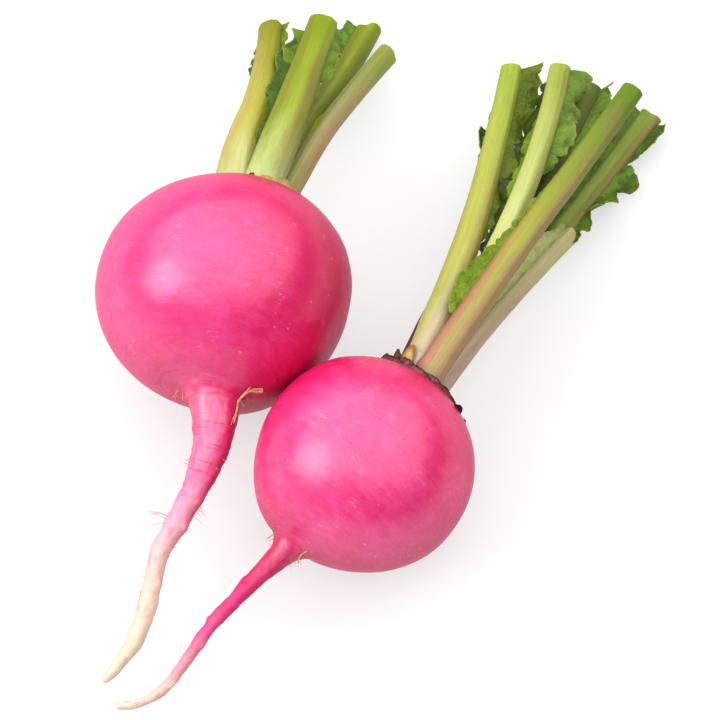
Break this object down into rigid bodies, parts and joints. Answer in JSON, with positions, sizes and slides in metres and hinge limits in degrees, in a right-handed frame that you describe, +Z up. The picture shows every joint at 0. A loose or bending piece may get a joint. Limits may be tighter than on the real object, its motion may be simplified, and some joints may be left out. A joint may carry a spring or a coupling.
{
  "type": "bunch of radishes",
  "caption": "Bunch of round pink radishes lying side by side, with curved tapering taproots and leaf stems cut short with ragged remains of their leaves.",
  "frame": {"origin": "middle of the flat spot that the large radish's bulb rests on", "axes": "+Z up from the surface, +Y the way the leaf stems point, +X towards the small radish's side"},
  "size_m": [0.142, 0.1981, 0.0618],
  "materials": {
    "large_skin": "smooth, softly shiny pink root skin",
    "large_scales": "dry pale leaf scars",
    "large_stem": "fresh yellow-green leaf stem",
    "small_skin": "smooth, softly shiny pink root skin",
    "small_scales": "dry purple-brown leaf scars",
    "small_stem": "fresh yellow-green leaf stem, reddish at its foot"
  },
  "bodies": {
    "root": {"large_bulb_and_taproot": "large_skin", "large_crown_scales": "large_scales", "large_left_leaf": "large_stem", "large_right_leaf": "large_stem", "large_top_leaf": "large_stem", "large_under_leaf": "large_stem", "small_bulb_and_taproot": "small_skin", "small_crown_scales": "small_scales", "small_inner_leaf": "small_stem", "small_left_leaf": "small_stem", "small_middle_leaf": "small_stem", "small_right_leaf": "small_stem", "small_short_leaf": "small_stem", "small_top_leaf": "small_stem", "small_under_leaf": "small_stem"}
  },
  "joints": []
}
